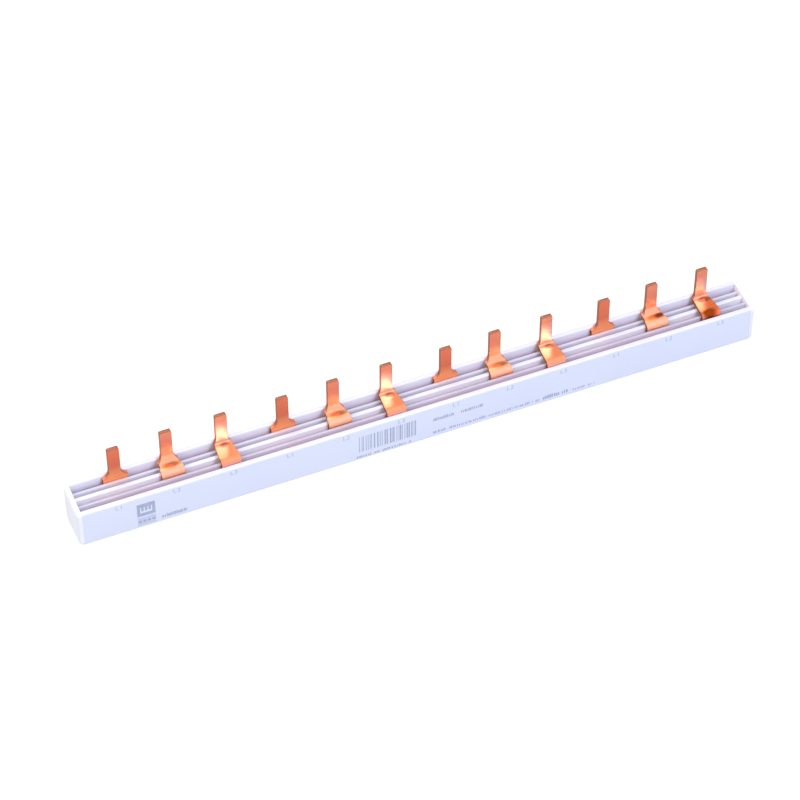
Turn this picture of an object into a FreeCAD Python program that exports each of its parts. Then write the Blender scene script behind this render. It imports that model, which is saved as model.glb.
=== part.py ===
import FreeCAD, Part
import math
import os

# Three-pole comb busbar for a row of modular breakers. Millimetres.
# X runs along the bar, -Y is its front, +Z is up, the way the pins point.
# The origin is the middle of the underside, midway between the end caps.
# A long trough of insulating plastic holds three copper combs, cut from strip and stood on edge.
# Their teeth follow each other along the bar: line one, line two, line three, four times over.
# The back comb's teeth go straight up. The other two are bent over the walls behind them,
# so that all twelve pins stand in one plane, just in front of the trough's tall back wall.

Vector = FreeCAD.Vector

# Row of pins
module_pitch = 17.8         # one breaker to the next
teeth_per_comb = 4
comb_count = 3
pin_width = 3.7
pin_reach = 13.05           # pin tip above the rim of the trough
back_short = 0.6            # the back comb's pins end this much lower
pin_corner = 0.8            # rounding of the tip, seen from the front
pin_lead = 0.35             # rounding of the tip, seen from the side

# Copper strip and teeth
strip_thick = 1.2
strip_height = 8.8
strip_end_play = 1.85       # from a strip's nominal end to the end cap's tongue
back_foot_width = 7.8       # back comb's tooth where it leaves the strip
middle_foot_width = 7.4     # middle comb's tooth, the same place
front_foot_width = 6.3      # front comb's tooth, the same place
middle_neck_width = 6.4     # middle comb's tooth where it turns up into the pin
front_neck_width = 5.5      # front comb's tooth, the same place
flare_radius = 3.2          # hollow sides between the neck and the pin
bend_inside = 0.5           # lower bend, inside radius
middle_root = 2.4           # upper bend of the middle comb's teeth, inside radius
front_root = 1.15           # upper bend of the front comb's teeth, inside radius
bridge_gap = 0.3            # air between the bent teeth and the walls they cross
back_foot_rise = 0.8        # straight sides of a back tooth above the rim, below its hollow sides

# Each comb lies where it was pushed in its lane, a little off its nominal place
back_slide = 1.55
middle_slide = 0.15
front_slide = -0.25

# Insulating strips between the lanes
separator_thick = 0.95
separator_drop = 0.6        # top of the strip below the rim
groove_depth = 0.6          # seat in the floor
groove_gap = 0.05           # play on each side in the seat
lane_gap = 0.19             # play on each side of a copper strip

# Trough
front_wall = 1.85
middle_wall = 1.4
back_wall = 1.4
floor_thick = 1.6
rim_height = 12.8           # front and middle walls
back_rise = 1.5             # back wall above the rim
end_margin = 12.55          # from the first and last nominal pin to the trough's ends
base_edge = 0.35            # rounding of the long bottom edge in front
base_back_edge = 3.0        # rounding of the long bottom edge at the back
rim_edge = 0.6              # rounding of the front and back walls' top edges
middle_edge = 0.3           # rounding of the middle wall's top edges

# End caps
cap_thick = 1.45
cap_overhang = 0.2          # past the trough's front, back and rim
cap_corner = 1.2            # corners of the plate
cap_edge = 1.1              # rounding round the outer face
tongue_length = 4.0
tongue_gap = 0.15           # play on each side in its lane
tongue_lift = 0.1           # play above the floor

# Worked out along the depth, from the front face
lane = strip_thick + 2 * lane_gap
channel = 2 * lane + separator_thick
trough_depth = front_wall + channel + middle_wall + channel + back_wall
front_face = -trough_depth / 2
front_channel = front_face + front_wall
back_channel = front_channel + channel + middle_wall
front_strip = front_channel + lane_gap
middle_strip = front_channel + lane + separator_thick + lane_gap
back_strip = back_channel + lane + separator_thick + lane_gap
pin_plane = back_strip

# Worked out along the height and the length
strip_top = floor_thick + strip_height
back_top = rim_height + back_rise
pin_top = rim_height + pin_reach
bridge_under = rim_height + bridge_gap
bridge_top = bridge_under + strip_thick
pin_span = (comb_count * teeth_per_comb - 1) * module_pitch
trough_length = pin_span + 2 * end_margin
strip_length = trough_length - 2 * (tongue_length + strip_end_play)


def side_point(u, v):
    """A point of the bar's cross-section: u is depth, v is height."""
    return Vector(0, u, v)


def front_point(u, v):
    """A point seen from the front: u is along the bar, v is height."""
    return Vector(u, 0, v)


def plan_point(u, v):
    """A point seen from above: u is along the bar, v is depth."""
    return Vector(u, v, 0)


def rounded_face(corners, point):
    """A flat face from corners (u, v, radius), where radius rounds that corner."""
    edges = []
    ends = []
    for index, (u, v, radius) in enumerate(corners):
        here = Vector(u, v, 0)
        before = corners[index - 1]
        after = corners[(index + 1) % len(corners)]
        back = (Vector(before[0], before[1], 0) - here).normalize()
        ahead = (Vector(after[0], after[1], 0) - here).normalize()
        half = back.getAngle(ahead) / 2
        reach = radius / math.tan(half)
        inward = (back + ahead).normalize()
        middle = here + inward * (radius / math.sin(half) - radius)
        first = here + back * reach
        last = here + ahead * reach
        if radius > 0:
            arc = Part.Arc(point(first.x, first.y), point(middle.x, middle.y), point(last.x, last.y))
            edges.append(arc.toShape())
        ends.append((point(first.x, first.y), point(last.x, last.y)))
    for index, (_, last) in enumerate(ends):
        first = ends[(index + 1) % len(ends)][0]
        edges.append(Part.makeLine(last, first))
    return Part.Face(Part.Wire(Part.__sortEdges__(edges)))


def box_between(low, high):
    """A box from its lowest to its highest corner."""
    size = high - low
    return Part.makeBox(size.x, size.y, size.z, low)


def top_rounding(edge, wall):
    """The rounding of a wall's top edges, which leaves a little of its top flat."""
    return min(edge, 0.45 * wall)


def make_trough():
    """The long housing: floor, front, middle and back walls, and seats for the separators."""
    face_back = front_face + trough_depth
    middle_front = front_channel + channel
    back_round = top_rounding(rim_edge, back_wall)
    middle_round = top_rounding(middle_edge, middle_wall)
    front_round = top_rounding(rim_edge, front_wall)
    section = rounded_face(
        [
            (front_face, 0, base_edge),
            (face_back, 0, base_back_edge),
            (face_back, back_top, back_round),
            (face_back - back_wall, back_top, back_round),
            (back_channel + channel, floor_thick, 0),
            (back_channel, floor_thick, 0),
            (back_channel, rim_height, middle_round),
            (middle_front, rim_height, middle_round),
            (middle_front, floor_thick, 0),
            (front_channel, floor_thick, 0),
            (front_channel, rim_height, front_round),
            (front_face, rim_height, front_round),
        ],
        side_point,
    )
    trough = section.extrude(Vector(trough_length, 0, 0))
    trough.translate(Vector(-trough_length / 2, 0, 0))
    for channel_front in (front_channel, back_channel):
        seat_front = channel_front + lane - groove_gap
        seat_back = channel_front + lane + separator_thick + groove_gap
        seat = box_between(
            Vector(-trough_length / 2, seat_front, floor_thick - groove_depth),
            Vector(trough_length / 2, seat_back, floor_thick),
        )
        trough = trough.cut(seat)
    return trough


def make_separator(channel_front):
    """A thin insulating strip on edge, in the middle of its channel."""
    low = Vector(-trough_length / 2, channel_front + lane, floor_thick - groove_depth)
    high = Vector(trough_length / 2, low.y + separator_thick, rim_height - separator_drop)
    return box_between(low, high)


def tooth_front_view(foot_half, flare_foot, neck_half, low, tip_height):
    """A tooth seen from the front: foot, hollow sides, then a pin with rounded corners."""
    pin_half = pin_width / 2
    inset = neck_half - pin_half
    flare_rise = math.sqrt(2 * flare_radius * inset - inset ** 2)
    flare_top = flare_foot + flare_rise
    slope = Vector(inset - flare_radius, -flare_rise, 0) + Vector(-flare_radius, 0, 0)
    slope = slope.normalize() * flare_radius
    middle_u = pin_half + flare_radius + slope.x
    middle_v = flare_top + slope.y
    inward = pin_corner * (1 - math.sqrt(0.5))
    edges = []
    for side in (1, -1):
        path = [
            front_point(0, low),
            front_point(side * foot_half, low),
            front_point(side * foot_half, flare_foot),
        ]
        if foot_half > neck_half:
            path.append(front_point(side * neck_half, flare_foot))
        edges += [Part.makeLine(a, b) for a, b in zip(path, path[1:])]
        flare_start = path[-1]
        flare_middle = front_point(side * middle_u, middle_v)
        flare_end = front_point(side * pin_half, flare_top)
        edges.append(Part.Arc(flare_start, flare_middle, flare_end).toShape())
        shoulder = front_point(side * pin_half, tip_height - pin_corner)
        corner_middle = front_point(side * (pin_half - inward), tip_height - inward)
        corner_end = front_point(side * (pin_half - pin_corner), tip_height)
        edges.append(Part.makeLine(flare_end, shoulder))
        edges.append(Part.Arc(shoulder, corner_middle, corner_end).toShape())
        edges.append(Part.makeLine(corner_end, front_point(0, tip_height)))
    return Part.Face(Part.Wire(Part.__sortEdges__(edges)))


def trim_to_front_view(tooth, foot_half, flare_foot, neck_half, low, tip_height):
    """Cut a tooth's blank to its outline seen from the front."""
    outline = tooth_front_view(foot_half, flare_foot, neck_half, low, tip_height)
    cutter = outline.extrude(Vector(0, 2 * trough_depth, 0))
    cutter.translate(Vector(0, -trough_depth, 0))
    return tooth.common(cutter)


def sheet_between(corners, width):
    """A blank as wide as a foot, from its side view."""
    blank = rounded_face(corners, side_point).extrude(Vector(width, 0, 0))
    blank.translate(Vector(-width / 2, 0, 0))
    return blank


def straight_tooth(strip_front):
    """A tooth of the back comb, flat from strip to tip."""
    strip_back = strip_front + strip_thick
    low = strip_top - strip_thick
    tip_height = pin_top - back_short
    blank = sheet_between(
        [
            (strip_front, low, 0),
            (strip_back, low, 0),
            (strip_back, tip_height, pin_lead),
            (strip_front, tip_height, pin_lead),
        ],
        back_foot_width,
    )
    foot_half = back_foot_width / 2
    return trim_to_front_view(blank, foot_half, rim_height + back_foot_rise, foot_half, low, tip_height)


def bent_tooth(strip_front, root, foot_width, neck_width):
    """A tooth that turns back over the walls and up again in the plane of the pins."""
    strip_back = strip_front + strip_thick
    low = strip_top - strip_thick
    blank = sheet_between(
        [
            (strip_front, low, 0),
            (strip_back, low, 0),
            (strip_back, bridge_under, bend_inside),
            (pin_plane + strip_thick, bridge_under, root + strip_thick),
            (pin_plane + strip_thick, pin_top, pin_lead),
            (pin_plane, pin_top, pin_lead),
            (pin_plane, bridge_top, root),
            (strip_front, bridge_top, bend_inside + strip_thick),
        ],
        foot_width,
    )
    foot_half = foot_width / 2
    neck_half = neck_width / 2
    taper_start = strip_front + bend_inside + strip_thick
    taper_end = pin_plane - root
    ahead = strip_front - strip_thick
    behind = pin_plane + 2 * strip_thick
    plan = rounded_face(
        [
            (-foot_half, ahead, 0),
            (foot_half, ahead, 0),
            (foot_half, taper_start, 0),
            (neck_half, taper_end, 0),
            (neck_half, behind, 0),
            (-neck_half, behind, 0),
            (-neck_half, taper_end, 0),
            (-foot_half, taper_start, 0),
        ],
        plan_point,
    )
    cutter = plan.extrude(Vector(0, 0, pin_top))
    return trim_to_front_view(blank.common(cutter), foot_half, bridge_top, neck_half, low, pin_top)


def make_comb(strip_front, tooth, place, slide):
    """One comb: a strip on edge with a tooth at every third module."""
    low = Vector(slide - strip_length / 2, strip_front, floor_thick)
    high = Vector(slide + strip_length / 2, strip_front + strip_thick, strip_top)
    comb = box_between(low, high)
    teeth = []
    for count in range(teeth_per_comb):
        along = slide - pin_span / 2 + (place + count * comb_count) * module_pitch
        copy = tooth.copy()
        copy.translate(Vector(along, 0, 0))
        teeth.append(copy)
    return comb.fuse(teeth).removeSplitter()


def make_cap(side):
    """An end cap: a plate over the trough's end, with a tongue in each lane."""
    plate_front = front_face - cap_overhang
    plate_back = front_face + trough_depth + cap_overhang
    back_corner = max(cap_corner, base_back_edge + cap_overhang)
    plate = rounded_face(
        [
            (plate_front, 0, cap_corner),
            (plate_back, 0, back_corner),
            (plate_back, back_top + cap_overhang, cap_corner),
            (plate_front, rim_height + cap_overhang, cap_corner),
        ],
        side_point,
    ).extrude(Vector(cap_thick, 0, 0))
    outer = [edge for edge in plate.Edges if edge.BoundBox.XMin > cap_thick - 0.001]
    cap = plate.makeFillet(cap_edge, outer)
    tongues = []
    for channel_front in (front_channel, back_channel):
        for lane_front in (channel_front, channel_front + lane + separator_thick):
            tongues.append(box_between(
                Vector(-tongue_length, lane_front + tongue_gap, floor_thick + tongue_lift),
                Vector(0, lane_front + lane - tongue_gap, strip_top),
            ))
    cap = cap.fuse(tongues).removeSplitter()
    cap.translate(Vector(trough_length / 2, 0, 0))
    if side < 0:
        cap = cap.mirror(Vector(0, 0, 0), Vector(1, 0, 0))
    return cap


middle_tooth = bent_tooth(middle_strip, middle_root, middle_foot_width, middle_neck_width)
front_tooth = bent_tooth(front_strip, front_root, front_foot_width, front_neck_width)

pieces = {
    "trough_housing": make_trough(),
    "comb_l1": make_comb(back_strip, straight_tooth(back_strip), 0, back_slide),
    "comb_l2": make_comb(middle_strip, middle_tooth, 1, middle_slide),
    "comb_l3": make_comb(front_strip, front_tooth, 2, front_slide),
    "separator_front": make_separator(front_channel),
    "separator_back": make_separator(back_channel),
    "end_cap_left": make_cap(-1),
    "end_cap_right": make_cap(1),
}

os.makedirs("parts", exist_ok=True)
for name, shape in pieces.items():
    shape.exportStep("parts/" + name + ".step")
    box = shape.BoundBox
    print(name, "valid", shape.isValid(), "solids", len(shape.Solids), "volume", round(shape.Volume, 1),
          "box", [round(v, 2) for v in (box.XMin, box.YMin, box.ZMin, box.XMax, box.YMax, box.ZMax)])
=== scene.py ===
import bmesh
import bpy
import math
from mathutils import Matrix, Vector


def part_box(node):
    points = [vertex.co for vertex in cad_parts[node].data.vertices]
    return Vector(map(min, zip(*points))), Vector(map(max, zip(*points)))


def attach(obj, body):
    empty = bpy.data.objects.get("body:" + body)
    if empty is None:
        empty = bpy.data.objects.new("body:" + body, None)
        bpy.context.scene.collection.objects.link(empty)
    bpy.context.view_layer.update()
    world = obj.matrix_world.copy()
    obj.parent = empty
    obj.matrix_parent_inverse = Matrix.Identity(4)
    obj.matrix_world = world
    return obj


# Comb busbar: white trough, three copper combs, two end caps. Metres.
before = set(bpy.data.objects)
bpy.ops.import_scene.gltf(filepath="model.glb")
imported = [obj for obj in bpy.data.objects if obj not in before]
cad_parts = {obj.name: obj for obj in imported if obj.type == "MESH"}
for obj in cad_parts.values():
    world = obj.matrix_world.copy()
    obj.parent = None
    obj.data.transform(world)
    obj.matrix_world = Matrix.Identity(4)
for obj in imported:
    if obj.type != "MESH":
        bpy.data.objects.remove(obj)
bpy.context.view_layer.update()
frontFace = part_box("trough_housing")[0][1]
print("frame: nodes", len(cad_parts))


# Node helpers

def newMaterial(name):
    mat = bpy.data.materials.new(name)
    mat.use_nodes = True
    tree = mat.node_tree
    return mat, tree, tree.nodes["Principled BSDF"]


def addNode(tree, kind, values=None, **settings):
    node = tree.nodes.new(kind)
    for key, value in settings.items():
        setattr(node, key, value)
    for socket, value in (values or {}).items():
        node.inputs[socket].default_value = value
    return node


def link(tree, source, output, target, socket):
    tree.links.new(source.outputs[output], target.inputs[socket])


def noise(tree, coords, scale, size, detail=3.0):
    # noise on the object's own coordinates; scale stretches it along X, Y and Z
    mapping = addNode(tree, "ShaderNodeMapping", {"Scale": scale})
    field = addNode(tree, "ShaderNodeTexNoise", {"Scale": size, "Detail": detail})
    link(tree, coords, "Object", mapping, "Vector")
    link(tree, mapping, "Vector", field, "Vector")
    return field


def spread(tree, source, output, low, high, start=0.3, end=0.7):
    # turns a field into a range of values
    values = {"From Min": start, "From Max": end, "To Min": low, "To Max": high}
    node = addNode(tree, "ShaderNodeMapRange", values)
    link(tree, source, output, node, "Value")
    return node


def combine(tree, operation, first, second):
    # each node's first output
    node = addNode(tree, "ShaderNodeMath", operation=operation)
    tree.links.new(first.outputs[0], node.inputs[0])
    tree.links.new(second.outputs[0], node.inputs[1])
    return node


def mixColour(tree, factor, output, first, second):
    # a colour is a plain one or such a node; inputs 6 and 7 and output 2 are the node's colours
    node = addNode(tree, "ShaderNodeMix", data_type="RGBA")
    link(tree, factor, output, node, "Factor")
    for socket, value in ((6, first), (7, second)):
        if isinstance(value, tuple):
            node.inputs[socket].default_value = value + (1.0,)
        else:
            tree.links.new(value.outputs[2], node.inputs[socket])
    return node


def mixValue(tree, factor, output, first, second):
    # from the first output of the node first to the plain number second
    node = addNode(tree, "ShaderNodeMix", {3: second})
    link(tree, factor, output, node, 0)
    link(tree, first, 0, node, 2)
    return node


def bump(tree, shader, field, strength, distance, last=None):
    # the field is laid over the normal of the node last, if there is one
    node = addNode(tree, "ShaderNodeBump", {"Strength": strength, "Distance": distance})
    link(tree, field, "Fac", node, "Height")
    if last:
        link(tree, last, "Normal", node, "Normal")
    link(tree, node, "Normal", shader, "Normal")


def patch(tree, along, place, centre, reach, edge):
    # 1 inside an ellipse seen from above, 0 outside of it; edge is the share of it that fades
    level = addNode(tree, "ShaderNodeCombineXYZ")
    tree.links.new(along.outputs[0], level.inputs["X"])
    link(tree, place, "Y", level, "Y")
    shifted = addNode(tree, "ShaderNodeVectorMath", {1: centre + (0,)}, operation="SUBTRACT")
    scaled = addNode(tree, "ShaderNodeVectorMath", {1: reach + (1,)}, operation="DIVIDE")
    size = addNode(tree, "ShaderNodeVectorMath", operation="LENGTH")
    link(tree, level, "Vector", shifted, 0)
    link(tree, shifted, "Vector", scaled, 0)
    link(tree, scaled, "Vector", size, 0)
    return spread(tree, size, "Value", 1, 0, 1 - edge, 1 + edge)


# Materials

plasticIor = 1.49


def makePlastic(name, look):
    mat, tree, shader = newMaterial(name)
    coords = addNode(tree, "ShaderNodeTexCoord")
    cloud = noise(tree, coords, (1, 1, 1), look["cloudSize"])
    grain = noise(tree, coords, look["grainStretch"], look["grainSize"], detail=4.0)
    colour = mixColour(tree, spread(tree, cloud, "Fac", 0, 1), "Result", look["colour"], look["shade"])
    if "paintedLaneShade" in look:
        # painted shade makes the back lane darker, the deeper the more
        place = addNode(tree, "ShaderNodeSeparateXYZ")
        link(tree, coords, "Object", place, "Vector")
        deep = spread(tree, place, "Z", 1, 0, *look["laneHeights"])
        front, back, fade = look["laneDepth"]
        behind = combine(tree, "MULTIPLY", deep, spread(tree, place, "Y", 0, 1, front - fade, front))
        laneShadeMask = combine(tree, "MULTIPLY", behind, spread(tree, place, "Y", 1, 0, back, back + fade))
        colour = mixColour(tree, laneShadeMask, "Value", colour, look["paintedLaneShade"])
    tree.links.new(colour.outputs[2], shader.inputs["Base Color"])
    link(tree, spread(tree, grain, "Fac", *look["roughness"]), "Result", shader, "Roughness")
    shader.inputs["IOR"].default_value = plasticIor
    shader.inputs["Specular IOR Level"].default_value = look["gloss"]
    bump(tree, shader, grain, look["bump"], look["bumpDepth"])
    return mat


def copperFaces(tree, look, coords, place, facing):
    # colour of the rolled faces, on the flat and upright
    bloom = noise(tree, coords, (1, 1, 1), look["bloomSize"], detail=2.0)
    colour = mixColour(tree, spread(tree, bloom, "Fac", 0, 1), "Result", look["colour"], look["bloomColour"])
    # painted highlight: flat tops get a paler colour, where they reflect the light
    flat = spread(tree, facing, "Z", 0, 1, *look["flatStart"])
    colour = mixColour(tree, flat, "Result", colour, look["paintedFlatHighlight"])
    # painted highlight: the front of the upright faces is paler near the rim
    highlightBand = spread(tree, place, "Z", 1, 0, *look["pinHighlightHeights"])
    upright = spread(tree, facing, "Y", 1, 0, *look["uprightStart"])
    paintedHighlight = combine(tree, "MULTIPLY", highlightBand, upright)
    return mixColour(tree, paintedHighlight, "Value", colour, look["paintedPinHighlight"])


def copperBends(tree, look, place, slanted, bend, colour):
    # where the sheet is bent a paler colour is painted as a sheen (its stretched, dull skin is made rougher
    # in makeCopper), and a painted highlight lies inside the upper bend
    colour = mixColour(tree, bend, "Result", colour, look["bendSheenColour"])
    inside = spread(tree, place, "Z", 0, 1, *look["rootHeights"])
    root = combine(tree, "MULTIPLY", inside, spread(tree, slanted, "Value", 0, 1, *look["rootStart"]))
    return mixColour(tree, root, "Value", colour, look["paintedRootHighlight"])


def copperMarks(tree, look, place, colour):
    # a short dark band is painted where each tooth's flat begins, as a painted dark reflection, and X wraps
    # from tooth to tooth
    first, period = look["creaseFirst"], look["creaseStep"]
    local = addNode(tree, "ShaderNodeMath", {1: first + period / 2, 2: first - period / 2}, operation="WRAP")
    link(tree, place, "X", local, 0)
    crease = patch(tree, local, place, look["creasePlace"], look["creaseReach"], look["creaseEdge"])
    colour = mixColour(tree, crease, "Result", colour, look["creaseReflectionColour"])
    # a few teeth are darker in patches; beside the root of one middle-comb tooth this is painted shadow
    for centre, reach, edge, patchColour in look["darkPatches"]:
        darkPatch = patch(tree, place, place, centre, reach, edge)
        colour = mixColour(tree, darkPatch, "Result", colour, patchColour)
    return colour


def copperEdges(tree, look, top, place, steepX):
    # 1 on sheared sides and tips, and a little less along the edges; their dark colour is partly the duller
    # sheared copper and partly painted dark reflection on tips and edges
    rounded = addNode(tree, "ShaderNodeBevel", {"Radius": look["edgeShade"]})
    trueNormal = addNode(tree, "ShaderNodeNewGeometry")
    along = addNode(tree, "ShaderNodeVectorMath", operation="DOT_PRODUCT")
    link(tree, rounded, "Normal", along, 0)
    link(tree, trueNormal, "True Normal", along, 1)
    rim = spread(tree, along, "Value", look["edgeShare"], 0, *look["rimStart"])
    sides = spread(tree, steepX, "Value", 0, 1, *look["sideStart"])
    tips = spread(tree, place, "Z", 0, 1, top - look["tipDepth"], top - look["tipDepth"] / 2)
    return combine(tree, "MAXIMUM", combine(tree, "MAXIMUM", sides, tips), rim)


def makeCopper(name, look, top):
    mat, tree, shader = newMaterial(name)
    coords = addNode(tree, "ShaderNodeTexCoord")
    place = addNode(tree, "ShaderNodeSeparateXYZ")
    link(tree, coords, "Object", place, "Vector")
    facing = addNode(tree, "ShaderNodeSeparateXYZ")
    link(tree, coords, "Normal", facing, "Vector")
    steep = {axis: addNode(tree, "ShaderNodeMath", operation="ABSOLUTE") for axis in "XYZ"}
    for axis, node in steep.items():
        link(tree, facing, axis, node, 0)
    slanted = combine(tree, "MINIMUM", steep["Y"], steep["Z"])
    bend = spread(tree, slanted, "Value", 0, 1, *look["bendStart"])
    sidesTipsEdges = copperEdges(tree, look, top, place, steep["X"])

    colour = copperFaces(tree, look, coords, place, facing)
    colour = copperBends(tree, look, place, slanted, bend, colour)
    colour = copperMarks(tree, look, place, colour)
    colour = mixColour(tree, sidesTipsEdges, "Value", colour, look["shearAndEdgeShade"])
    tree.links.new(colour.outputs[2], shader.inputs["Base Color"])

    rolling = noise(tree, coords, look["rollingStretch"], look["rollingSize"], detail=5.0)
    rough = spread(tree, rolling, "Fac", *look["roughness"])
    rough = mixValue(tree, bend, "Result", rough, look["bendRoughness"])
    rough = mixValue(tree, sidesTipsEdges, "Value", rough, look["shearRoughness"])
    link(tree, rough, 0, shader, "Roughness")
    shader.inputs["Metallic"].default_value = 1.0
    edge = addNode(tree, "ShaderNodeBevel", {"Radius": look["edge"]})
    # the flat of a bent tooth falls a little to the front
    fall = addNode(tree, "ShaderNodeBump", {"Strength": look["fall"], "Distance": 1.0})
    link(tree, place, "Y", fall, "Height")
    link(tree, edge, "Normal", fall, "Normal")
    bump(tree, shader, rolling, look["bump"], look["bumpDepth"], fall)
    return mat


troughLook = {
    "colour": (0.78, 0.77, 0.815), "shade": (0.76, 0.747, 0.81), "cloudSize": 45.0,
    "grainStretch": (0.02, 1, 1), "grainSize": 2500.0,      # faint lines along the extrusion
    "roughness": (0.32, 0.42), "gloss": 0.45, "bump": 0.12, "bumpDepth": 0.00003,
    # painted shade deep in the back lane
    "paintedLaneShade": (0.58, 0.57, 0.64), "laneHeights": (0.0108, 0.0124), "laneDepth": (0.0036, 0.0051, 0.0002),
}
# the strips' grey is partly their own and partly painted shade of the lanes they stand in
separatorLook = {
    "colour": (0.62, 0.59, 0.65), "shade": (0.65, 0.615, 0.68), "cloudSize": 60.0,
    "grainStretch": (0.03, 1, 1), "grainSize": 3000.0,
    "roughness": (0.38, 0.5), "gloss": 0.4, "bump": 0.1, "bumpDepth": 0.00002,
}
# the front strip is a darker copy of the same grey, as painted shade
frontSeparatorLook = dict(separatorLook, colour=(0.54, 0.51, 0.58), shade=(0.58, 0.54, 0.61))
capLook = {
    "colour": (0.935, 0.88, 0.89), "shade": (0.92, 0.865, 0.88), "cloudSize": 120.0,
    "grainStretch": (1, 1, 1), "grainSize": 5000.0,         # fine spark-eroded mould face
    "roughness": (0.4, 0.5), "gloss": 0.4, "bump": 0.15, "bumpDepth": 0.00002,
}
copperLook = {
    "colour": (0.75, 0.25, 0.14), "bloomColour": (0.79, 0.29, 0.165), "bloomSize": 160.0,
    "rollingStretch": (0.03, 1, 1), "rollingSize": 2500.0,  # fine lines along the rolled strip
    "roughness": (0.27, 0.33), "bump": 0.05, "bumpDepth": 0.00002, "edge": 0.00012, "fall": 0.048,
    # a start is the two values between which a field comes in, of a normal's part or of a height
    "paintedFlatHighlight": (0.87, 0.275, 0.128), "flatStart": (0.9, 0.98),
    "paintedPinHighlight": (1.0, 0.67, 0.60), "pinHighlightHeights": (0.0185, 0.0234), "uprightStart": (-0.95, -0.7),
    "bendSheenColour": (0.86, 0.32, 0.17), "bendRoughness": 0.75, "bendStart": (0.12, 0.3),
    "paintedRootHighlight": (0.88, 0.47, 0.32), "rootHeights": (0.0143, 0.0145), "rootStart": (0.45, 0.65),
    # X wraps about creaseFirst; creaseStep is the spacing of a comb's teeth
    "creaseFirst": -0.06185, "creaseStep": 0.0534, "creasePlace": (-0.06225, 0.0024),
    "creaseReach": (0.0014, 0.0008), "creaseEdge": 0.4, "creaseReflectionColour": (0.23, 0.10, 0.045),
    "darkPatches": [
        # place, reach, fading share, colour
        ((0.09925, -0.0012), (0.0026, 0.0036), 0.35, (0.72, 0.17, 0.06)),
        ((0.09825, 0.0021), (0.0021, 0.0009), 0.4, (0.30, 0.08, 0.04)),
        ((0.09715, -0.0035), (0.0024, 0.0014), 0.35, (0.30, 0.052, 0.006)),
    ],
    "edgeShade": 0.0004, "edgeShare": 0.85, "rimStart": (0.8, 0.97), "sideStart": (0.55, 0.9),
    "shearAndEdgeShade": (0.33, 0.13, 0.07), "shearRoughness": 0.5, "tipDepth": 0.0005,
}
# the middle comb is a slightly paler copy of the same copper, as painted light
middleCopperLook = dict(
    copperLook, colour=(0.79, 0.25, 0.15), bloomColour=(0.82, 0.28, 0.175), roughness=(0.33, 0.39),
    paintedPinHighlight=(0.95, 0.46, 0.26), pinHighlightHeights=(0.0155, 0.022), paintedRootHighlight=(0.93, 0.37, 0.19),
    paintedFlatHighlight=(0.97, 0.48, 0.27), bendSheenColour=(0.93, 0.44, 0.29), fall=0.03,
    # painted shadow beside the root of one tooth
    darkPatches=[((0.0822, 0.0014), (0.0017, 0.0008), 0.4, (0.23, 0.035, 0.012))],
    creasePlace=(-0.07965, 0.0011), creaseFirst=-0.07965, creaseReach=(0.0032, 0.001),
    creaseReflectionColour=(0.45, 0.155, 0.065),
)
# the back comb is a darker, redder copy of the same copper, as painted shade
backCopperLook = dict(
    copperLook, roughness=(0.55, 0.62), colour=(0.76, 0.205, 0.108), bloomColour=(0.78, 0.23, 0.122),
    # painted highlight on the feet of the back comb
    paintedPinHighlight=(1.0, 0.44, 0.2), pinHighlightHeights=(0.0146, 0.0180), darkPatches=[],
)


def topOf(node):
    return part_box(node)[1][2]


finishes = {
    "trough": makePlastic("troughPlastic", troughLook),
    "comb_l1": makeCopper("backCopper", backCopperLook, topOf("comb_l1")),
    "comb_l2": makeCopper("middleCopper", middleCopperLook, topOf("comb_l2")),
    "comb_l3": makeCopper("frontCopper", copperLook, topOf("comb_l3")),
    "separator_front": makePlastic("frontSeparatorStrip", frontSeparatorLook),
    "separator": makePlastic("separatorStrip", separatorLook),
    "cap": makePlastic("capPlastic", capLook),
}
# a node gets the first finish whose name is in its own
for node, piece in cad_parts.items():
    finish = next(mat for part, mat in finishes.items() if part in node)
    piece.data.materials.clear()
    piece.data.materials.append(finish)
print("materials:", len(finishes))


# Print on the front face: bars, stems and plain marks in a thin film of ink

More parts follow.
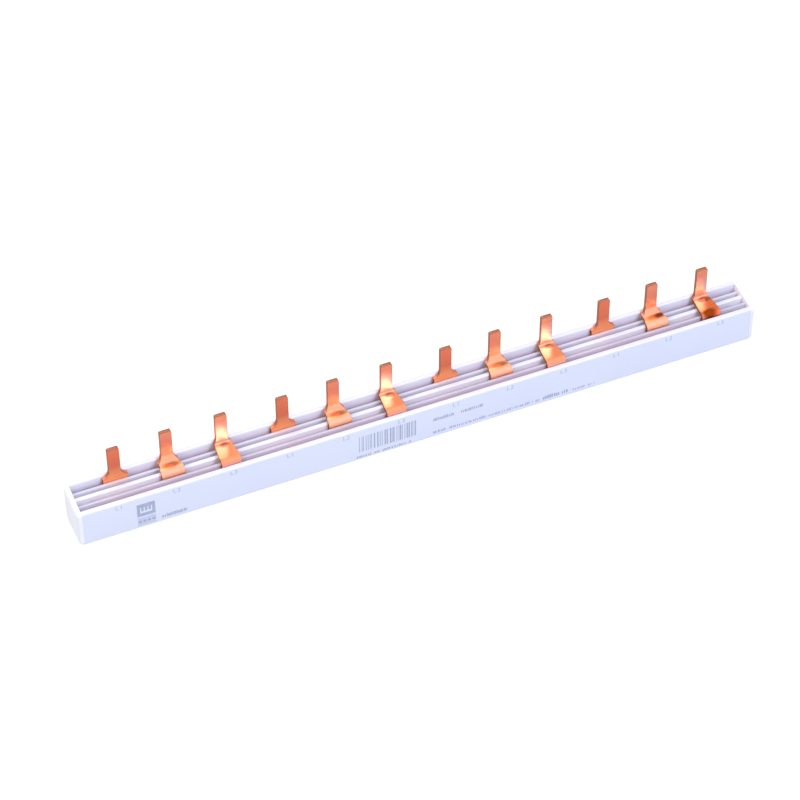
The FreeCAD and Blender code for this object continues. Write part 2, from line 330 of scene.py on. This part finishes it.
printFace = {"film": 0.00003, "slot": "trough_plastic"}    # film stands this proud, and as deep in the wall
inkLook = {
    "colour": (0.40, 0.41, 0.50), "shade": (0.45, 0.46, 0.55), "cloudSize": 900.0,
    "grainStretch": (1, 1, 1), "grainSize": 9000.0,
    "roughness": (0.45, 0.6), "gloss": 0.3, "bump": 0.05, "bumpDepth": 0.000005,
}
markLook = dict(inkLook, colour=(0.47, 0.48, 0.57), shade=(0.52, 0.53, 0.62))
fieldLook = dict(inkLook, colour=(0.60, 0.61, 0.70), shade=(0.63, 0.64, 0.73))
printRows = {
    # start is along and up; bar and gap are the least and most units; some gaps are breaks between words
    "bar_field": {"start": (-0.0226, 0.0032), "count": 26, "unit": 0.00022, "bar": (1, 2), "gap": (1, 3),
                  "height": (0.0064, 0.0064), "breakShare": 0.0, "breakUnits": 0, "seed": 11},
    "bar_caption": {"start": (-0.02335, 0.0008), "count": 24, "unit": 0.00015, "bar": (2, 3), "gap": (1, 3),
                    "height": (0.0006, 0.0009), "breakShare": 0.15, "breakUnits": 5, "seed": 4},
    "short_row": {"start": (-0.08605, 0.0014), "count": 14, "unit": 0.00015, "bar": (2, 3), "gap": (1, 2),
                  "height": (0.0009, 0.0014), "breakShare": 0.0, "breakUnits": 0, "seed": 7},
    "upper_row": {"start": (0.00185, 0.0067), "count": 13, "unit": 0.00015, "bar": (2, 3), "gap": (1, 2),
                  "height": (0.0008, 0.0013), "breakShare": 0.0, "breakUnits": 0, "seed": 21},
    "upper_end": {"start": (0.01115, 0.0067), "count": 12, "unit": 0.00015, "bar": (2, 3), "gap": (1, 2),
                  "height": (0.0008, 0.0013), "breakShare": 0.1, "breakUnits": 5, "seed": 22},
    "lower_row": {"start": (0.00185, 0.0014), "count": 54, "unit": 0.00015, "bar": (1, 3), "gap": (1, 3),
                  "height": (0.0006, 0.0011), "breakShare": 0.12, "breakUnits": 4, "seed": 3},
    "lower_bold": {"start": (0.03885, 0.0014), "count": 11, "unit": 0.00018, "bar": (2, 3), "gap": (1, 2),
                   "height": (0.0011, 0.0015), "breakShare": 0.15, "breakUnits": 3, "seed": 8},
    "lower_end": {"start": (0.04905, 0.0014), "count": 11, "unit": 0.00015, "bar": (1, 3), "gap": (1, 3),
                  "height": (0.0006, 0.0011), "breakShare": 0.1, "breakUnits": 4, "seed": 5},
}


randomInputs = {"INT": 4, "FLOAT": 2}                     # the first of a random node's two limits
randomOutputs = {"INT": 2, "FLOAT": 1, "BOOLEAN": 3}      # where its value comes out
seedShifts = {"bar": 0, "gap": 100, "height": 200}


def makeRowTree():
    # blocks that stand in a row; their widths, gaps and heights are random from a fixed seed
    tree = bpy.data.node_groups.new("printRow", "GeometryNodeTree")
    inputs = (("Count", "Int"), ("Unit", "Float"), ("Bar Least", "Int"), ("Bar Most", "Int"),
              ("Gap Least", "Int"), ("Gap Most", "Int"), ("Break Share", "Float"), ("Break Units", "Float"),
              ("Lowest", "Float"), ("Highest", "Float"), ("Film", "Float"), ("Seed", "Int"),
              ("Ink", "Material"))
    for name, kind in inputs:
        tree.interface.new_socket(name=name, in_out="INPUT", socket_type="NodeSocket" + kind)
    tree.interface.new_socket(name="Print", in_out="OUTPUT", socket_type="NodeSocketGeometry")
    given = addNode(tree, "NodeGroupInput")
    out = addNode(tree, "NodeGroupOutput")

    def arithmetic(operation, first, firstOut, second, secondOut):
        node = addNode(tree, "ShaderNodeMath", operation=operation)
        link(tree, first, firstOut, node, 0)
        link(tree, second, secondOut, node, 1)
        return node

    def pick(kind, least, most, shift):
        # a random value for each block
        node = addNode(tree, "FunctionNodeRandomValue", data_type=kind)
        seed = addNode(tree, "ShaderNodeMath", {1: shift}, operation="ADD")
        link(tree, given, "Seed", seed, 0)
        link(tree, seed, "Value", node, "Seed")
        link(tree, given, least, node, randomInputs[kind])
        link(tree, given, most, node, randomInputs[kind] + 1)
        return node

    barUnits = pick("INT", "Bar Least", "Bar Most", seedShifts["bar"])
    bar = arithmetic("MULTIPLY", barUnits, randomOutputs["INT"], given, "Unit")
    gap = pick("INT", "Gap Least", "Gap Most", seedShifts["gap"])
    chance = addNode(tree, "FunctionNodeRandomValue", data_type="BOOLEAN")
    link(tree, given, "Break Share", chance, "Probability")
    link(tree, given, "Seed", chance, "Seed")
    extra = arithmetic("MULTIPLY", chance, randomOutputs["BOOLEAN"], given, "Break Units")
    gapUnits = arithmetic("ADD", gap, randomOutputs["INT"], extra, "Value")
    gapWidth = arithmetic("MULTIPLY", gapUnits, "Value", given, "Unit")
    step = arithmetic("ADD", bar, "Value", gapWidth, "Value")
    run = addNode(tree, "GeometryNodeAccumulateField", data_type="FLOAT")
    link(tree, step, "Value", run, "Value")
    half = addNode(tree, "ShaderNodeMath", {1: 0.5}, operation="MULTIPLY")
    link(tree, bar, "Value", half, 0)
    along = arithmetic("ADD", run, "Trailing", half, "Value")
    height = pick("FLOAT", "Lowest", "Highest", seedShifts["height"])
    middle = addNode(tree, "ShaderNodeMath", {1: 0.5}, operation="MULTIPLY")
    link(tree, height, randomOutputs["FLOAT"], middle, 0)

    line = addNode(tree, "GeometryNodeMeshLine", {"Offset": (0, 0, 0)})
    link(tree, given, "Count", line, "Count")
    spot = addNode(tree, "ShaderNodeCombineXYZ")
    link(tree, along, "Value", spot, "X")
    link(tree, middle, "Value", spot, "Z")
    place = addNode(tree, "GeometryNodeSetPosition")
    link(tree, line, "Mesh", place, "Geometry")
    link(tree, spot, "Vector", place, "Position")
    size = addNode(tree, "ShaderNodeCombineXYZ")
    link(tree, bar, "Value", size, "X")
    link(tree, given, "Film", size, "Y")
    link(tree, height, randomOutputs["FLOAT"], size, "Z")
    block = addNode(tree, "GeometryNodeMeshCube", {"Size": (1, 1, 1)})
    copies = addNode(tree, "GeometryNodeInstanceOnPoints")
    link(tree, place, "Geometry", copies, "Points")
    link(tree, block, "Mesh", copies, "Instance")
    link(tree, size, "Vector", copies, "Scale")
    whole = addNode(tree, "GeometryNodeRealizeInstances")
    link(tree, copies, "Instances", whole, "Geometry")
    paint = addNode(tree, "GeometryNodeSetMaterial")
    link(tree, whole, "Geometry", paint, "Geometry")
    link(tree, given, "Ink", paint, "Material")
    link(tree, paint, "Geometry", out, "Print")
    return tree


def printed(name, mesh, along, up):
    # puts a flat mesh, drawn in X and Z, on the front face
    mesh.transform(Matrix.Translation((along, frontFace, up)))
    piece = bpy.data.objects.new(name, mesh)
    bpy.context.scene.collection.objects.link(piece)
    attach(piece, "root")
    return piece


def makeRows(ink):
    tree = makeRowTree()
    sockets = {item.name: item.identifier for item in tree.interface.items_tree if item.in_out == "INPUT"}
    for name, row in printRows.items():
        carrier = bpy.data.objects.new("rowCarrier", bpy.data.meshes.new("rowCarrier"))
        bpy.context.scene.collection.objects.link(carrier)
        modifier = carrier.modifiers.new("row", "NODES")
        modifier.node_group = tree
        values = {
            "Count": row["count"], "Unit": row["unit"],
            "Bar Least": row["bar"][0], "Bar Most": row["bar"][1],
            "Gap Least": row["gap"][0], "Gap Most": row["gap"][1], "Break Share": row["breakShare"],
            "Break Units": float(row["breakUnits"]), "Lowest": row["height"][0], "Highest": row["height"][1],
            "Film": 2 * printFace["film"], "Seed": row["seed"], "Ink": ink,
        }
        for key, value in values.items():
            modifier[sockets[key]] = value
        depsgraph = bpy.context.evaluated_depsgraph_get()
        mesh = bpy.data.meshes.new_from_object(carrier.evaluated_get(depsgraph))
        bpy.data.objects.remove(carrier)
        mesh.name = name
        piece = printed(name, mesh, *row["start"])
        wide = max(v.co.x for v in mesh.vertices) - min(v.co.x for v in mesh.vertices)
        print("print:", piece.name, "width", round(wide * 1000, 1), "mm, faces", len(mesh.polygons))


def blockMesh(name, blocks, material, film):
    # blocks are (left, bottom, right, top) in the face's plane
    points = []
    faces = []
    for left, bottom, right, top in blocks:
        first = len(points)
        for y in (-film, film):
            points += [(left, y, bottom), (right, y, bottom), (right, y, top), (left, y, top)]
        # the six sides of a block
        faces += [[first + i for i in ring] for ring in
                  ((0, 1, 2, 3), (7, 6, 5, 4), (0, 4, 5, 1), (1, 5, 6, 2), (2, 6, 7, 3), (3, 7, 4, 0))]
    mesh = bpy.data.meshes.new(name)
    mesh.from_pydata(points, [], faces)
    mesh.materials.append(material)
    return mesh


sign = {
    # a plain sign of a comb: a square with a bar and four teeth left pale, over a strip with four dots
    "place": (-0.09365, 0.0005), "width": 0.0057, "bottom": 0.0042, "top": 0.0093,
    "barWidth": 0.0038, "barBottom": 0.0055, "barTop": 0.0062,
    "toothTop": 0.0078, "toothWidth": 0.0004, "teeth": 4,
    "stripBottom": 0.0003, "stripTop": 0.0037, "dotSize": 0.0009,
}


def makeSign(ink, field, plain):
    look = sign
    width = look["width"]
    left = (width - look["barWidth"]) / 2
    step = (look["barWidth"] - look["toothWidth"]) / (look["teeth"] - 1)
    pale = [(left, look["barBottom"], width - left, look["barTop"])]
    dots = []
    for n in range(look["teeth"]):
        half = look["toothWidth"] / 2
        middle = left + half + n * step
        pale.append((middle - half, look["barTop"], middle + half, look["toothTop"]))
        reach = look["dotSize"] / 2
        centre = width * (n + 0.5) / look["teeth"]
        up = (look["stripBottom"] + look["stripTop"]) / 2
        dots.append((centre - reach, up - reach, centre + reach, up + reach))
    strip = [(0, look["stripBottom"], width, look["stripTop"])]
    square = [(0, look["bottom"], width, look["top"])]
    film = printFace["film"]
    # what lies over another field stands twice as proud
    parts = {"sign_square": (square, ink, film), "sign_comb": (pale, plain, 2 * film),
             "sign_strip": (strip, field, film), "sign_dots": (dots, ink, 2 * film)}
    for name, (blocks, material, thick) in parts.items():
        printed(name, blockMesh(name, blocks, material, thick), *look["place"])


phaseMarks = {
    "size": 0.0023, "spacing": 1.15, "count": 12, "lines": 3,
    "first": -0.09895, "step": 0.01807, "up": 0.0103,
}


def makePhaseMarks(ink):
    # the number of the line that each pin belongs to, under its pin
    look = phaseMarks
    marks = []
    for n in range(look["count"]):
        words = bpy.data.curves.new("mark", "FONT")
        words.body = "L%d" % (n % look["lines"] + 1)
        words.size = look["size"]
        words.space_character = look["spacing"]
        words.align_x = "CENTER"
        words.extrude = printFace["film"]
        carrier = bpy.data.objects.new("mark", words)
        bpy.context.scene.collection.objects.link(carrier)
        depsgraph = bpy.context.evaluated_depsgraph_get()
        mesh = bpy.data.meshes.new_from_object(carrier.evaluated_get(depsgraph))
        bpy.data.objects.remove(carrier)
        mesh.transform(Matrix.Rotation(math.pi / 2, 4, "X"))
        mesh.transform(Matrix.Translation((look["first"] + n * look["step"], 0, 0)))
        marks.append(mesh)
    joined = bmesh.new()
    for mesh in marks:
        joined.from_mesh(mesh)
    whole = bpy.data.meshes.new("phase_marks")
    joined.to_mesh(whole)
    joined.free()
    whole.materials.append(ink)
    printed("phase_marks", whole, 0, look["up"])


inkDark = makePlastic("printInk", inkLook)
inkField = makePlastic("printField", fieldLook)
inkMarks = makePlastic("printMarks", markLook)
makeRows(inkDark)
makeSign(inkDark, inkField, finishes["trough"])
makePhaseMarks(inkMarks)
print("print: sign and", phaseMarks["count"], "phase marks")


# Camera, light, floor

view = {
    "azimuth": 23.185, "elevation": 44.745, "roll": -0.225,  # degrees
    "target": (-0.008868, -0.005875, 0.019616), "distance": 0.90304,
    "lens": 135.41, "sensor": 36.0,                         # millimetres
}


def aimFrom(azimuth, elevation, roll):
    # axes of something that looks along azimuth and down by elevation
    a, e, r = (math.radians(v) for v in (azimuth, elevation, roll))
    ahead = Vector((math.sin(a) * math.cos(e), math.cos(a) * math.cos(e), -math.sin(e)))
    level = Vector((math.cos(a), -math.sin(a), 0))
    upward = level.cross(ahead)
    right = level * math.cos(r) + upward * math.sin(r)
    top = upward * math.cos(r) - level * math.sin(r)
    return right, top, ahead


def placed(azimuth, elevation, target, distance, roll=0.0):
    right, top, ahead = aimFrom(azimuth, elevation, roll)
    spot = Vector(target) - ahead * distance
    turn = Matrix((right, top, -ahead)).transposed()
    return Matrix.Translation(spot) @ turn.to_4x4()


lens = bpy.data.cameras.new("camera")
lens.lens = view["lens"]
lens.sensor_width = view["sensor"]
lens.sensor_fit = "HORIZONTAL"
eye = bpy.data.objects.new("camera", lens)
eye.matrix_world = placed(view["azimuth"], view["elevation"], view["target"], view["distance"], view["roll"])
bpy.context.scene.collection.objects.link(eye)
bpy.context.scene.camera = eye

lampAim = (0, 0, 0.02)
lamps = {
    # azimuth and elevation are the way the light travels; size is across and up
    "keyLamp": {"azimuth": 62.0, "elevation": 33.0, "distance": 0.7, "size": (0.55, 0.55), "power": 1.76,
                "tint": (1.07, 1.02, 1.02)},
    "hotLamp": {"azimuth": -20.5, "elevation": 41.8, "distance": 1.0, "size": (0.46, 0.16), "power": 5.2,
                "tint": (1, 1.06, 1.45)},
    "backLamp": {"azimuth": 150.0, "elevation": 47.0, "distance": 1.0, "size": (0.8, 0.8), "power": 4.8,
                 "tint": (1, 0.99, 1)},
}
for name, lamp in lamps.items():
    light = bpy.data.lights.new(name, "AREA")
    light.shape = "RECTANGLE"
    light.size, light.size_y = lamp["size"]
    light.energy = lamp["power"]
    light.color = lamp["tint"]
    lampObject = bpy.data.objects.new(name, light)
    lampObject.matrix_world = placed(lamp["azimuth"], lamp["elevation"], lampAim, lamp["distance"])
    bpy.context.scene.collection.objects.link(lampObject)

sky = {"ambient": (0.46, 0.465, 0.49), "white": (1.0, 1.0, 1.0)}


def seenRays(tree):
    # 1 for camera, glossy and transmission rays, so that metal shows the same white
    path = addNode(tree, "ShaderNodeLightPath")
    first = addNode(tree, "ShaderNodeMath", operation="MAXIMUM")
    both = addNode(tree, "ShaderNodeMath", operation="MAXIMUM")
    link(tree, path, "Is Camera Ray", first, 0)
    link(tree, path, "Is Glossy Ray", first, 1)
    link(tree, first, "Value", both, 0)
    link(tree, path, "Is Transmission Ray", both, 1)
    return both


def makeSky():
    world = bpy.data.worlds.new("studio")
    world.use_nodes = True
    tree = world.node_tree
    tree.nodes.clear()
    out = addNode(tree, "ShaderNodeOutputWorld")
    fill = addNode(tree, "ShaderNodeBackground", {"Color": sky["ambient"] + (1,)})
    white = addNode(tree, "ShaderNodeBackground", {"Color": sky["white"] + (1,)})
    mix = addNode(tree, "ShaderNodeMixShader")
    link(tree, seenRays(tree), "Value", mix, 0)
    link(tree, fill, "Background", mix, 1)
    link(tree, white, "Background", mix, 2)
    link(tree, mix, "Shader", out, "Surface")
    bpy.context.scene.world = world


floorLook = {
    "half": 2.5, "drop": 0.00005,
    "bounce": (0.34, 0.46, 0.49), "seen": (0.42, 0.42, 0.42), "lift": 0.66,
}


def makeFloor():
    half = floorLook["half"]
    low = -floorLook["drop"]
    mesh = bpy.data.meshes.new("floor")
    corners = [(-half, -half, low), (half, -half, low), (half, half, low), (-half, half, low)]
    mesh.from_pydata(corners, [], [(0, 1, 2, 3)])
    floor = bpy.data.objects.new("floor", mesh)
    bpy.context.scene.collection.objects.link(floor)
    mat = bpy.data.materials.new("floorPaper")
    mat.use_nodes = True
    tree = mat.node_tree
    tree.nodes.clear()
    out = addNode(tree, "ShaderNodeOutputMaterial")
    bounce = addNode(tree, "ShaderNodeBsdfDiffuse", {"Color": floorLook["bounce"] + (1,)})
    seen = addNode(tree, "ShaderNodeBsdfDiffuse", {"Color": floorLook["seen"] + (1,)})
    lift = addNode(tree, "ShaderNodeEmission", {"Color": (1, 1, 1, 1), "Strength": floorLook["lift"]})
    bright = addNode(tree, "ShaderNodeAddShader")
    mix = addNode(tree, "ShaderNodeMixShader")
    link(tree, seen, "BSDF", bright, 0)
    link(tree, lift, "Emission", bright, 1)
    link(tree, seenRays(tree), "Value", mix, 0)
    link(tree, bounce, "BSDF", mix, 1)
    link(tree, bright, "Shader", mix, 2)
    link(tree, mix, "Shader", out, "Surface")
    mesh.materials.append(mat)


makeSky()
makeFloor()
bpy.context.scene.view_settings.view_transform = "Standard"
print("stage: camera, lamps", len(lamps), "floor")
